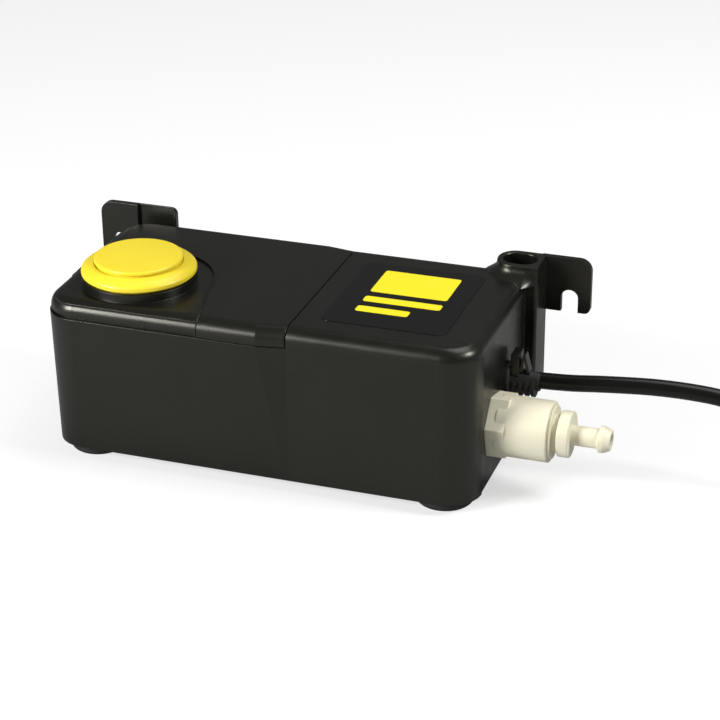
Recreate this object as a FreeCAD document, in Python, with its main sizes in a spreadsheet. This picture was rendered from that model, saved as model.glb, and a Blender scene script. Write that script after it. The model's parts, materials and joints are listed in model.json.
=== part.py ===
"""Condensate tank pump: a small tank with a lid, a wet-rotor pump, and its motor housing.

The model stands on its feet at z = 0. +X runs along the case to the outlet, +Y goes back to the wall,
and +Z is up. The origin is under the middle of the object's box, without its mains lead.
"""
import FreeCAD, Part
import math
import os
import re
import Sketcher

SIZES = {
    # Case
    "body_length": 208.3,
    "motor_width": 98.9,
    "tank_width": 103.3,
    "body_height": 82,
    "lid_height": 9,
    "foot_height": 5.8,
    "shell": 2.5,
    "edge_round": 6.5,
    "corner_round": 16,
    "seam_x": 16.5,
    "seam_gap": 0.6,
    "facet_length": 13.5,
    "facet_length_low": 1.5,
    "ledge_width": 4,
    "ledge_height": 3,
    "pillar_radius": 4.5,
    "pillar_inset": 12,
    "screw_radius": 1.5,
    "head_depth": 1.7,
    "screw_edge": 1.2,
    "fit": 0.2,
    # Wall plane, ears and corner pockets
    "wall_y": 55,
    "ear_thickness": 3,
    "ear_rise": 6.6,
    "ear_height": 27.2,
    "ear_overhang": 16.05,
    "ear_length": 22.1,
    "ear_round": 6,
    "left_ear_length": 40.7,
    "slot_inset": 10.1,
    "slot_width": 8.2,
    "slot_drop": 15.9,
    "recess_depth": 2.2,
    "recess_length": 19.2,
    "recess_margin": 1.4,
    "socket_width": 21.3,
    "socket_overhang": 5.15,
    "socket_front": 37,
    "socket_bottom": 24,
    "socket_shell": 2.6,
    "socket_depth": 32,
    "socket_flare": 7.5,
    "socket_round": 1.5,
    "mouth_round": 6,
    # Lid, inlet and cap
    "lid_shell": 2.2,
    "seal_thickness": 0.4,
    "seal_width": 0.6,
    "seal_inset": 1.8,
    "tongue_depth": 3,
    "tongue_thickness": 1.5,
    "step_inset": 1.6,
    "step_drop": 0.7,
    "step_radius": 34.9,
    "step_edge_reach": 42,
    "step_turn_reach": 34,
    "cap_inset": 36.15,
    "cap_y": 17,
    "collar_radius": 27,
    "collar_height": 3.4,
    "inlet_radius": 22.5,
    "plug_gap": 0.3,
    "plug_thickness": 2.6,
    "plug_depth": 13,
    "cap_flange": 1.7,
    "cap_dome": 4.4,
    "cap_disc_radius": 20.8,
    "cap_disc": 2.4,
    "oring_radius": 0.7,
    # End panel, base and feet
    "panel_half": 33.6,
    "panel_drop": 6.5,
    "panel_thickness": 2,
    "panel_recess": 0.4,
    "panel_lap": 2.5,
    "base_thickness": 2.5,
    "foot_radius": 13.5,
    "foot_inset": 17.65,
    "foot_y": 32.5,
    # Outlet valve
    "outlet_y": 15.5,
    "outlet_z": 33,
    "hex_radius": 15.8,
    "hex_turn": 46,
    "hex_length": 8.6,
    "barrel_radius": 14.1,
    "barrel_end": 27.8,
    "valve_bore": 11,
    "valve_seat": 6,
    "seat_radius": 3.5,
    "spigot_radius": 8.9,
    "spigot_length": 8,
    "tail_radius": 5,
    "tail_length": 20,
    "valve_cap_radius": 12.4,
    "valve_cap_end": 29,
    "neck_radius": 8.8,
    "neck_end": 31.4,
    "flange_radius": 10.6,
    "flange_end": 36.9,
    "hose_bore": 3,
    "stem_radius": 4.6,
    "barb_length": 6.1,
    "barb_radius": 6.1,
    "barb_tip_radius": 4.7,
    "outlet_reach": 54.5,
    "poppet_radius": 5.4,
    "poppet_length": 6,
    "valve_stroke": 2.5,
    "spring_wire": 0.35,
    "spring_radius": 3.6,
    "tube_radius": 6.2,
    # Pump and rotor
    "pump_y": 14,
    "pump_z": 32,
    "can_radius": 11.5,
    "can_wall": 0.8,
    "can_length": 38,
    "can_flange": 2,
    "gasket": 0.6,
    "chamber_radius": 22,
    "chamber_bore": 15,
    "chamber_depth": 12,
    "chamber_wall": 2,
    "spout_radius": 8.5,
    "spout_bore": 3.8,
    "chamber_screw_circle": 18.6,
    "eye_circle": 6.4,
    "eye_radius": 2.6,
    "filter_radius": 13.5,
    "filter_length": 13,
    "filter_wall": 1.4,
    "impeller_radius": 13.4,
    "impeller_plate": 1.4,
    "blade_height": 6.6,
    "running_gap": 0.4,
    "sleeve_tail": 6.6,
    "blade_thickness": 1.4,
    "sleeve_radius": 4.4,
    "magnet_radius": 9.8,
    "magnet_length": 30,
    "bearing_radius": 3.2,
    "bearing_length": 6,
    "shaft_radius": 1.5,
    # Motor and board
    "core_inset": 7.5,
    "core_thickness": 20,
    "core_half": 18,
    "core_slot": 4,
    "core_drop": 16,
    "core_clearance": 3.5,
    "core_yoke": 12,
    "core_bore": 12,
    "rivet_radius": 1.6,
    "rivet_inset": 3.6,
    "rivet_rise": 6.8,
    "bobbin_wall": 0.8,
    "bobbin_reach": 3.7,
    "bobbin_start": 14,
    "bobbin_clearance": 2,
    "board_offset": 45.5,
    "board_end": 8.15,
    "board_y": 20,
    "board_thickness": 1.6,
    "board_clearance": 2.7,
    # Float switch
    "float_x": 14,
    "float_y": 28,
    "bracket_drop": 9,
    "bracket_thickness": 3,
    "bracket_half": 7,
    "float_stem_radius": 4,
    "float_stem_bore": 2.6,
    "float_stem_foot": 12,
    "float_radius": 13,
    "float_height": 20,
    "float_play": 0.2,
    "float_gap": 0.4,
    "float_headroom": 0.8,
    "clip_thickness": 1.6,
    # Mains lead
    "lead_radius": 3.9,
    "lead_y": 9.4,
    "lead_z": 44.4,
    "lead_inset": 12.15,
    "gland_radius": 6.6,
    "gland_length": 15.5,
    "rib_radius": 5.6,
    "rib_drop": 2,
    "clip_height": 14,
    "coil_x": 318,
    "coil_y": 36,
    "coil_inner": 27.8,
    "coil_outer": 51.2,
    "coil_height": 15.8,
    "tail_reach": 22,
}

# Places that follow from the sizes; the object's box reaches from the left ear to the barb's tip, and from
# the lid's front to the wall
PLACES = {
    "rim_height": "(body_height - lid_height)",
    "ear_top": "(body_height + ear_rise)",
    "ear_bottom": "(ear_top - ear_height)",
    "ear_left": "(body_length / 2 + ear_overhang)",
    "ear_right": "(socket_right + ear_length)",
    "left_ear_end": "(ear_left - left_ear_length)",
    "slot_top": "(ear_top - slot_drop)",
    "socket_right": "(body_length / 2 + socket_overhang)",
    "socket_left": "(socket_right - socket_width)",
    "cap_x": "(body_length / 2 - cap_inset)",
    "step_edge_x": "(cap_x - step_edge_reach)",
    "step_turn_x": "(cap_x - step_turn_reach)",
    "panel_top": "(body_height - panel_drop)",
    "foot_x": "(body_length / 2 - foot_inset)",
    "head_radius": "(screw_radius * 1.9)",
    "barb_tip": "(outlet_reach + panel_recess)",
    "barb_start": "(barb_tip - barb_length)",
    "core_x": "(seam_x + core_inset)",
    "core_top": "(body_height - shell - core_clearance)",
    "core_slot_top": "(core_top - core_yoke)",
    "bobbin_low": "(pump_z + bobbin_start)",
    "bobbin_high": "(core_slot_top - bobbin_clearance)",
    "board_x": "(seam_x + board_offset)",
    "board_right": "(body_length / 2 - board_end)",
    "board_top": "(body_height - shell - board_clearance)",
    "bracket_z": "(rim_height - bracket_drop)",
    "float_rest": "(float_stem_foot + 1.4 + clip_thickness + float_play)",
    "float_travel": "(bracket_z - 2 - float_rest - float_height - float_headroom)",
    "lead_start": "(body_length / 2 - lead_inset)",
    "middle_x": "((body_length / 2 + outlet_reach - ear_left) / 2)",
    "middle_y": "((wall_y - tank_width / 2) / 2)",
}
PLANES = {"xy": "XY_Plane", "xz": "XZ_Plane", "yz": "YZ_Plane"}

doc = FreeCAD.newDocument("CondensatePump")
sheet = doc.addObject("Spreadsheet::Sheet", "Sizes")
for row, (alias, number) in enumerate(SIZES.items(), start=1):
    sheet.set(f"A{row}", alias)
    sheet.set(f"B{row}", str(number))
    sheet.setAlias(f"B{row}", alias)
doc.recompute()
parts = []


def spelled(text):
    """An expression with its named places written out in sizes."""
    found = re.sub(r"[a-z_]+", lambda word: PLACES.get(word.group(), word.group()), text)
    return text if found == text else spelled(found)


def linked(text):
    """An expression on sizes and places, as another object of the document writes it."""
    return re.sub(r"[a-z_]+", lambda word: "Sizes." * (word.group() in SIZES) + word.group(), spelled(text))


def value(text):
    """The number that an expression on sizes and places has now."""
    return float(sheet.evalExpression(spelled(text)))


def set_place(item, x="0", y="0", z="0"):
    """Places an object of the model, from the middle of the case's footprint."""
    item.setExpression(".Placement.Base.x", linked(f"{x} - middle_x"))
    item.setExpression(".Placement.Base.y", linked(f"{y} - middle_y"))
    item.setExpression(".Placement.Base.z", linked(z))


def new_body(name, x="0", y="0", z="0", kept=True):
    """An empty body; a kept one is a sub-part, and another is a tool for one."""
    body = doc.addObject("PartDesign::Body", name)
    body.Label = name
    body.AllowCompound = True
    set_place(body, x, y, z)
    if kept:
        parts.append(body)
    return body


def keep(item, name):
    """Makes a finished boolean or feature a sub-part."""
    item.Label = name
    parts.append(item)
    return item


def new_sketch(body, plane, level="0"):
    """A sketch on one of the body's own planes, moved along that plane's axis to a level."""
    drawing = body.newObject("Sketcher::SketchObject", body.Name + "_sketch")
    base = next(item for item in body.Origin.OriginFeatures if item.Role == PLANES[plane])
    drawing.AttachmentSupport = (base, [""])
    drawing.MapMode = "FlatFace"
    along = f"-({level})" if plane == "xz" else level
    drawing.setExpression("AttachmentOffset.Base.z", linked(along))
    return drawing


def sized(kind, *target, text):
    """A driving constraint with the expression that it is tied to."""
    return Sketcher.Constraint(kind, *target, value(text)), text


def circle(drawing, u, v, radius):
    """A full circle; gives its constraints."""
    centre = FreeCAD.Vector(value(u), value(v), 0)
    index = drawing.addGeometry(Part.Circle(centre, FreeCAD.Vector(0, 0, 1), value(radius)))
    return [
        sized("DistanceX", index, 3, text=u),
        sized("DistanceY", index, 3, text=v),
        sized("Radius", index, text=radius),
    ]


def corner_arc(here, before, after, radius):
    """Start, middle and end of the arc that rounds a corner between two directions."""
    half = before.getAngle(after) / 2
    back = radius / math.tan(half)
    middle = here + (before + after).normalize() * (radius / math.sin(half) - radius)
    return here + before * back, middle, here + after * back


def outline(drawing, corners):
    """A closed outline of straight sides; a corner with a third value is rounded by that radius."""
    spots = [FreeCAD.Vector(value(corner[0]), value(corner[1]), 0) for corner in corners]
    count = len(corners)
    curves = []
    for index, corner in enumerate(corners):
        here = spots[index]
        before = (spots[index - 1] - here).normalize()
        after = (spots[(index + 1) % count] - here).normalize()
        is_round = len(corner) > 2
        curves.append(corner_arc(here, before, after, value(corner[2])) if is_round else (here, here, here))
    lines = [
        drawing.addGeometry(Part.LineSegment(curves[index][2], curves[(index + 1) % count][0]))
        for index in range(count)
    ]
    rules = []
    for index, corner in enumerate(corners):
        coming = lines[index - 1]
        leaving = lines[index]
        if len(corner) < 3:
            rules.append((Sketcher.Constraint("Coincident", coming, 2, leaving, 1), None))
            rules.append(sized("DistanceX", leaving, 1, text=corner[0]))
            rules.append(sized("DistanceY", leaving, 1, text=corner[1]))
            continue
        arc = drawing.addGeometry(Part.Arc(*curves[index]))
        shape = drawing.Geometry[arc]
        start = curves[index][0]
        first = 1 if shape.StartPoint.distanceToPoint(start) < shape.EndPoint.distanceToPoint(start) else 2
        point = drawing.addGeometry(Part.Point(spots[index]), True)
        rules += [
            (Sketcher.Constraint("Tangent", coming, 2, arc, first), None),
            (Sketcher.Constraint("Tangent", leaving, 1, arc, 3 - first), None),
            (Sketcher.Constraint("PointOnObject", point, 1, coming), None),
            (Sketcher.Constraint("PointOnObject", point, 1, leaving), None),
            sized("DistanceX", point, 1, text=corner[0]),
            sized("DistanceY", point, 1, text=corner[1]),
            sized("Radius", arc, text=corner[2]),
        ]
    return rules


def draw(drawing, shapes):
    """Draws a mix of outlines (lists of corners) and circles (u, v, radius)."""
    rules = []
    for shape in shapes:
        rules += outline(drawing, shape) if isinstance(shape, list) else circle(drawing, *shape)
    drawing.addConstraint([rule for rule, text in rules])
    for index, (rule, text) in enumerate(rules):
        if text:
            drawing.setExpression(f"Constraints[{index}]", linked(text))


def grown(body, feature, sign):
    """Recomputes and checks that a feature added or took material."""
    before = body.Shape.Volume if body.Shape and not body.Shape.isNull() else 0
    doc.recompute()
    if sign * (body.Shape.Volume - before) <= 0:
        raise ValueError(f"{feature.Name} changed nothing on {body.Label}")
    return feature


def add(body, plane, start, end, *shapes):
    """Adds a prism between two levels along a plane's axis."""
    drawing = new_sketch(body, plane, end if plane == "xz" else start)
    draw(drawing, shapes)
    pad = body.newObject("PartDesign::Pad", body.Name + "_pad")
    pad.Profile = drawing
    pad.setExpression("Length", linked(f"{end} - ({start})"))
    return grown(body, pad, 1)


def cut(body, plane, start, end, *shapes):
    """Cuts a prism between two levels along a plane's axis."""
    drawing = new_sketch(body, plane, start if plane == "xz" else end)
    draw(drawing, shapes)
    pocket = body.newObject("PartDesign::Pocket", body.Name + "_pocket")
    pocket.Profile = drawing
    pocket.setExpression("Length", linked(f"{end} - ({start})"))
    return grown(body, pocket, -1)


def turn(body, axis, *shapes, groove=False):
    """Turns profiles about the body's own X or Z axis; a corner's third value rounds the rim it makes."""
    drawing = new_sketch(body, "xz")
    sharp = [[corner[:2] for corner in shape] if isinstance(shape, list) else shape for shape in shapes]
    draw(drawing, sharp)
    kind = "PartDesign::Groove" if groove else "PartDesign::Revolution"
    turned = body.newObject(kind, body.Name + "_turn")
    turned.Profile = drawing
    turned.ReferenceAxis = (drawing, ["H_Axis" if axis == "x" else "V_Axis"])
    turned.Angle = 360
    grown(body, turned, -1 if groove else 1)
    rims = {}
    for shape in shapes:
        for corner in shape if isinstance(shape, list) else []:
            if len(corner) > 2:
                rims.setdefault(corner[2], []).append(corner[:2] if axis == "x" else corner[1::-1])
    for radius, spots in rims.items():
        places = [(value(along), value(out)) for along, out in spots]
        round_edges(body, radius, lambda edge: is_rim(edge, axis, places))


def is_rim(edge, axis, places):
    """Whether a circular edge lies at one of the places, each given along the axis and out from it."""
    if not isinstance(edge.Curve, Part.Circle):
        return False
    centre = edge.Curve.Center
    along = centre.x if axis == "x" else centre.z
    return any(max(abs(along - place[0]), abs(edge.Curve.Radius - place[1])) < 0.01 for place in places)


def loft(body, low, low_corners, high, high_corners, groove=False):
    """A straight-sided loft between two outlines at two heights."""
    first = new_sketch(body, "xy", low)
    draw(first, [low_corners])
    second = new_sketch(body, "xy", high)
    draw(second, [high_corners])
    kind = "PartDesign::SubtractiveLoft" if groove else "PartDesign::AdditiveLoft"
    lofted = body.newObject(kind, body.Name + "_loft")
    lofted.Profile = first
    lofted.Sections = [second]
    lofted.Ruled = True
    return grown(body, lofted, -1 if groove else 1)


def round_edges(body, radius, chosen):
    """Rounds the edges of the body's last feature that a test picks."""
    tip = body.Tip
    names = [f"Edge{number}" for number, edge in enumerate(tip.Shape.Edges, start=1) if chosen(edge)]
    if not names:
        raise ValueError(f"no edge to round on {body.Label}")
    fillet = body.newObject("PartDesign::Fillet", body.Name + "_round")
    fillet.Base = (tip, names)
    fillet.setExpression("Radius", linked(radius))
    doc.recompute()
    return fillet


def pattern(body, feature, count, axis="X_Axis"):
    """Repeats a feature evenly about one of the body's own axes."""
    around = next(item for item in body.Origin.OriginFeatures if item.Role == axis)
    polar = body.newObject("PartDesign::PolarPattern", body.Name + "_pattern")
    polar.Originals = [feature]
    polar.Axis = (around, [""])
    polar.Angle = 360
    polar.Occurrences = count
    body.Tip = polar
    doc.recompute()
    return polar


def at_height(edge, level):
    """Whether an edge lies at one height."""
    box = edge.BoundBox
    return abs(box.ZMin - value(level)) < 0.01 and abs(box.ZMax - value(level)) < 0.01


def boolean(kind, name, base, tool):
    """A Part boolean of two objects that are already placed."""
    item = doc.addObject(f"Part::{kind}", name)
    item.Base = base
    item.Tool = tool
    doc.recompute()
    return item


def rectangle(u_low, u_high, v_low, v_high, *radius):
    """Corners of an upright rectangle, rounded if a radius is given."""
    corners = ((u_low, v_low), (u_high, v_low), (u_high, v_high), (u_low, v_high))
    return [(*corner, *radius) for corner in corners]


def around(radius, angle):
    """A point at a radius and an angle in degrees."""
    return f"{radius} * cos({angle})", f"{radius} * sin({angle})"


def tank_outline(inset, width="tank_width", facet="facet_length", end="seam_x + seam_gap / 2", end_inset="0"):
    """The tank's plan, set in from the outside; its right end narrows by a facet to the motor housing."""
    left = f"-body_length / 2 + {inset}"
    wide = f"(({width}) / 2 - ({inset}))"
    narrow = f"(motor_width / 2 - ({inset}))"
    bend = f"seam_x - {facet}"
    stop = f"{end} - ({end_inset})"
    curve = f"corner_round - ({inset})"
    return [
        (left, f"-{wide}", curve),
        (bend, f"-{wide}"),
        (stop, f"-{narrow}"),
        (stop, narrow),
        (bend, wide),
        (left, wide, curve),
    ]


def motor_outline(inset, radius):
    """The motor housing's plan, set in from the outside, with round corners at its right end."""
    left = f"seam_x + seam_gap / 2 + {inset}"
    right = f"body_length / 2 - ({inset})"
    half = f"(motor_width / 2 - ({inset}))"
    return [(left, f"-{half}"), (right, f"-{half}", radius), (right, half, radius), (left, half)]


def pillar_spots():
    """Where the base screws stand, in the motor housing's corners."""
    left = "seam_x + shell + pillar_radius"
    right = "body_length / 2 - pillar_inset"
    half = "motor_width / 2 - shell - head_radius - screw_edge"
    inner = "socket_front - pillar_radius + 1"
    return [(left, f"-({half})"), (left, half), (right, f"-({inner})"), (right, inner)]


def foot_spots():
    """Middles of the four feet."""
    return [(x, y) for x in ("-foot_x", "foot_x") for y in ("-foot_y", "foot_y")]


def pump_body():
    """The one moulding: tank, motor housing, rear corner socket, and the two hanging ears."""
    body = new_body("pump_body")
    add(body, "xy", "foot_height", "body_height", motor_outline("0", "corner_round"))
    seam = value("seam_x + seam_gap / 2")
    roof = "body_height"
    round_edges(body, "edge_round", lambda edge: at_height(edge, roof) and edge.BoundBox.XMax > seam + 1)
    floor_plan = tank_outline("0", "motor_width", "facet_length_low")
    loft(body, "foot_height", floor_plan, "rim_height", tank_outline("0"))
    loft(
        body,
        "foot_height + shell",
        tank_outline("shell", "motor_width", "facet_length_low"),
        "rim_height",
        tank_outline("shell"),
        groove=True,
    )
    ledge = "seam_x + seam_gap / 2 - ledge_width"
    half = "(motor_width / 2 - shell)"
    shelf = rectangle(ledge, "seam_x + 1", f"-{half}", half)
    add(body, "xy", "rim_height - ledge_height", "rim_height", shelf)
    cut(body, "xy", "foot_height", "body_height - shell", motor_outline("shell", "corner_round - shell"))
    socket(body)
    low = "foot_height + base_thickness + fit"
    pillars = [(x, y, "pillar_radius") for x, y in pillar_spots()]
    add(body, "xy", low, f"{roof} - edge_round - 2", *pillars[:2])
    add(body, "xy", low, f"{roof} - shell / 2", *pillars[2:])
    depth = ("foot_height + base_thickness", "foot_height + base_thickness + 14")
    cut(body, "xy", *depth, *[(x, y, "screw_radius * 0.85") for x, y in pillar_spots()])
    face = "body_length / 2"
    panel = ("-panel_half - fit", "panel_half + fit", "foot_height", "panel_top + fit")
    cut(body, "yz", f"{face} - panel_thickness - panel_recess", face, rectangle(*panel))
    hole = ("-panel_half + panel_lap", "panel_half - panel_lap", "foot_height", "panel_top - panel_lap")
    cut(body, "yz", f"{face} - shell - 1", face, rectangle(*hole))
    through = ("seam_x", "seam_x + seam_gap / 2 + shell + 1")
    spout = ("-outlet_y", "outlet_z", "spout_bore + 2 + fit")
    cut(body, "yz", *through, ("pump_y", "pump_z", "can_radius + fit"), spout)
    ears(body)


def socket(body):
    """The round-edged socket down the right rear corner, and the slope that rises to its rim."""
    right = "socket_right"
    back = "wall_y"
    front = "socket_front"
    add(
        body,
        "xy",
        "socket_bottom",
        "ear_top - 1",
        [
            ("socket_left", front, "mouth_round + socket_shell"),
            (right, front, "socket_round"),
            (right, back),
            ("socket_left", back, "mouth_round + socket_shell"),
        ],
    )

    def section(flare):
        reach = f"socket_flare * {flare}"
        return [
            (f"socket_left - {reach}", f"{front} - {reach}", f"mouth_round + socket_shell + {reach}"),
            (f"{right} - 6", f"{front} - {reach}"),
            (right, front),
            (right, back),
            (f"socket_left - {reach}", back, "mouth_round + socket_shell"),
        ]

    levels = ("body_height - 2", "body_height", "body_height + 2", "ear_top")
    drawings = []
    for level, flare in zip(levels, (1, 0.62, 0.26, 0.05)):
        drawings.append(new_sketch(body, "xy", level))
        draw(drawings[-1], [section(flare)])
    flank = body.newObject("PartDesign::AdditiveLoft", "pump_body_flank")
    flank.Profile = drawings[0]
    flank.Sections = drawings[1:]
    grown(body, flank, 1)
    shell = "socket_shell"
    sides = (f"socket_left + {shell}", f"{right} - {shell}")
    mouth = rectangle(*sides, f"{front} + {shell}", "wall_y - ear_thickness", "mouth_round")
    cut(body, "xy", "ear_top - socket_depth", "ear_top", mouth)
    round_edges(body, "socket_shell / 3", lambda edge: at_height(edge, "ear_top"))


def ears(body):
    """The two hanging ears in the wall plane, each with a slot that is open below."""
    front = "wall_y - ear_thickness"
    top = "ear_top"
    low = "ear_bottom"
    corner = "ear_round"
    prong = "ear_round / 2"
    root = "socket_right - 2"
    right = [(root, low), ("ear_right", low, prong), ("ear_right", top, corner), (root, top)]
    add(body, "xz", front, "wall_y", right)
    end = "-left_ear_end"
    left = [("-ear_left", low, prong), (end, low), (end, top, prong), ("-ear_left", top, corner)]
    add(body, "xz", front, "wall_y", left)
    lug = "(body_length / 2 - corner_round)"
    web = rectangle(f"-{lug}", end, low, "rim_height - 1")
    add(body, "xz", "tank_width / 2 - shell / 2", front, web)
    half = "slot_width / 2"
    for middle in ("(ear_right - slot_inset)", "(slot_inset - ear_left)"):
        slot = [
            (f"{middle} - {half}", f"{low} - 1"),
            (f"{middle} + {half}", f"{low} - 1"),
            (f"{middle} + {half}", "slot_top", f"{half} - 0.01"),
            (f"{middle} - {half}", "slot_top", f"{half} - 0.01"),
        ]
        cut(body, "xz", front, "wall_y", slot)
    stop = "-left_ear_end - recess_margin"
    recess = rectangle(f"{stop} - recess_length", stop, "rim_height", f"{top} + 1")
    cut(body, "xz", front, f"{front} + recess_depth", recess)


def tank_lid():
    """The lid: a full block and a stepped-back one, joined along the low step round the inlet."""
    base = "rim_height + seal_thickness"
    end_inset = "seam_gap"

    def block(name, top, width):
        body = new_body(name, kept=False)
        add(body, "xy", base, top, tank_outline("0", width, end_inset=end_inset))
        stop = value("seam_x - seam_gap / 2")
        round_edges(body, "edge_round", lambda edge: at_height(edge, top) and edge.BoundBox.XMin < stop - 1)
        return body

    full = block("lid_full", "body_height", "tank_width")
    low = block("lid_low", "body_height - step_drop", "tank_width - 2 * step_inset")
    mask = new_body("lid_mask", kept=False)
    span = (f"{base} - 1", "body_height + 1")
    front = "-(tank_width / 2 + 2)"
    edge = [
        ("-body_length / 2 - 2", front),
        ("-step_edge_x", front),
        ("-step_edge_x", "-(tank_width / 2 - edge_round)"),
        ("-step_turn_x", "-cap_y"),
        ("-body_length / 2 - 2", "-cap_y"),
    ]
    add(mask, "xy", *span, edge)
    add(mask, "xy", *span, ("-cap_x", "-cap_y", "step_radius"))
    high_part = boolean("Cut", "lid_high_part", full, mask)
    low_part = boolean("Common", "lid_low_part", low, mask)
    skin = boolean("Fuse", "lid_skin", high_part, low_part)

    inside = new_body("lid_inside", kept=False)
    plan = tank_outline("lid_shell + step_inset", end_inset="seam_gap")
    add(inside, "xy", f"{base} - 1", "body_height - lid_shell", plan)
    top = value("body_height - lid_shell")
    round_edges(inside, "edge_round - lid_shell", lambda edge: abs(edge.BoundBox.ZMin - top) < 0.01)
    hollow = boolean("Cut", "lid_hollow", skin, inside)

    fittings = new_body("lid_fittings", kept=False)
    tongue = ("rim_height - tongue_depth", "body_height - lid_shell")
    outer = "shell + plug_gap"
    inner = "shell + plug_gap + tongue_thickness"
    stop_outer = "ledge_width + plug_gap"
    stop_inner = "ledge_width + plug_gap + tongue_thickness"
    add(
        fittings,
        "xy",
        *tongue,
        tank_outline(outer, end_inset=stop_outer),
        tank_outline(inner, end_inset=stop_inner),
    )
    ring = ("-cap_x", "-cap_y", "collar_radius")
    add(fittings, "xy", "body_height - lid_shell", "body_height + collar_height", ring)
    solid = boolean("Fuse", "lid_solid", hollow, fittings)

    bore = new_body("lid_bore", kept=False)
    add(bore, "xy", "rim_height", "body_height + collar_height + 1", ("-cap_x", "-cap_y", "inlet_radius"))
    keep(boolean("Cut", "tank_lid", solid, bore), "tank_lid")


def lid_seal():
    """The flat gasket on the tank's rim."""
    body = new_body("lid_seal")
    base = "rim_height"
    outer = tank_outline("seal_inset", end_inset="seam_gap")
    inner = tank_outline("seal_inset + seal_width", end_inset="seam_gap + seal_width")
    add(body, "xy", base, f"{base} + seal_thickness", outer, inner)


def inlet_cap():
    """The push-in cap: hollow plug, flange, dome and raised disc."""
    body = new_body("inlet_cap", "-cap_x", "-cap_y", "body_height + collar_height")
    plug = "(inlet_radius - plug_gap)"
    inner = "(inlet_radius - plug_gap - plug_thickness)"
    dome = "(cap_flange + cap_dome)"
    disc = "(cap_flange + cap_dome + cap_disc)"
    profile = [
        ("0", f"{disc} - 2"),
        (f"{inner} - 2", f"{disc} - 2"),
        (inner, "cap_flange"),
        (inner, "-plug_depth"),
        (plug, "-plug_depth"),
        (plug, "0"),
        ("collar_radius", "0", "0.4"),
        ("collar_radius", "cap_flange", "0.6"),
        ("cap_disc_radius", f"{dome} - 0.2"),
        ("cap_disc_radius", f"{disc} - 0.2", "0.6"),
        ("0", disc),
    ]
    turn(body, "z", profile)
    level = "-plug_depth + 4"
    seal = "oring_radius"
    notch = [
        (f"{plug} - 2 * {seal} + plug_gap - 0.05", f"{level} - {seal} - 0.05"),
        (f"{plug} + 1", f"{level} - {seal} - 0.05"),
        (f"{plug} + 1", f"{level} + {seal} + 0.05"),
        (f"{plug} - 2 * {seal} + plug_gap - 0.05", f"{level} + {seal} + 0.05"),
    ]
    turn(body, "z", notch, groove=True)

    ring = new_body("cap_seal", "-cap_x", "-cap_y", "body_height + collar_height")
    turn(ring, "z", (f"inlet_radius - 0.02 - {seal}", level, seal))


def end_panel():
    """The panel let into the case's right end, which carries the outlet and the lead."""
    body = new_body("end_panel")
    outer = "body_length / 2 - panel_recess"
    sheet_span = (f"{outer} - panel_thickness", outer)
    plate = rectangle("-panel_half", "panel_half", "foot_height + fit", "panel_top")
    add(body, "yz", *sheet_span, plate)
    boss = (f"{outer} - panel_thickness - 3", f"{outer} - panel_thickness")
    outlet = ("-outlet_y", "outlet_z")
    lead = ("lead_y", "lead_z")
    add(body, "yz", *boss, (*outlet, "spigot_radius + 4"), (*lead, "gland_radius + 1.5"))
    holes = ((*outlet, "spigot_radius + fit / 2"), (*lead, "gland_radius - 1.5 + fit / 2"))
    cut(body, "yz", f"{outer} - panel_thickness - 4", outer, *holes)


def base_cover():
    """The motor housing's floor, with the motor's cradle and the board's guides."""
    body = new_body("base_cover")
    top = "foot_height + base_thickness"
    add(body, "xy", "foot_height", top, motor_outline("shell + fit", "corner_round - shell - fit"))
    gate = rectangle("-panel_half", "panel_half", "0", top)
    cut(body, "yz", "body_length / 2 - shell - 1", "body_length / 2", gate)
    seat = "pump_z - core_drop"

    def round_core(margin):
        """The core's plan with a margin."""
        along = (f"core_x - ({margin})", f"core_x + core_thickness + ({margin})")
        return rectangle(*along, f"pump_y - core_half - ({margin})", f"pump_y + core_half + ({margin})")

    cradle = round_core("2")
    add(body, "xy", top, f"{seat} + 3", cradle)
    cut(body, "xy", seat, f"{seat} + 3", round_core("fit"))
    cut(body, "xy", top, f"{seat} + 3", round_core("-3"))

    def round_board(margin):
        """The board's plan with a margin."""
        across = (f"board_y - {margin}", f"board_y + board_thickness + {margin}")
        return rectangle(f"board_x - {margin}", f"board_right + {margin}", *across)

    add(body, "xy", top, f"{top} + 6", round_board("2"))
    cut(body, "xy", f"{top} + 3", f"{top} + 6", round_board("fit"))
    for depth, radius in (("base_thickness", "screw_radius + fit"), ("head_depth", "head_radius + fit")):
        cut(body, "xy", "foot_height", f"foot_height + {depth}", *[(x, y, radius) for x, y in pillar_spots()])


def screws(name, spots, start, length, plane, head):
    """A group of pan-head screws along one axis; the head lies below, or on the low side."""
    body = new_body(name)
    add(body, plane, start, f"{start} + {length}", *[(u, v, "screw_radius * 0.8") for u, v in spots])
    add(body, plane, f"{start} - {head}", start, *[(u, v, "head_radius") for u, v in spots])
    return body


def rubber_feet():
    """Four stuck-on rubber pads with rounded lower edges."""
    body = new_body("rubber_feet")
    add(body, "xy", "0", "foot_height", *[(x, y, "foot_radius") for x, y in foot_spots()])
    round_edges(body, "foot_height / 3", lambda edge: edge.BoundBox.ZMax < 0.01)


def outlet_body(name, x="0"):
    """A body on the outlet's own axis, measured from the end panel's face."""
    return new_body(name, f"body_length / 2 - panel_recess + {x}", "-outlet_y", "outlet_z")


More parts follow.
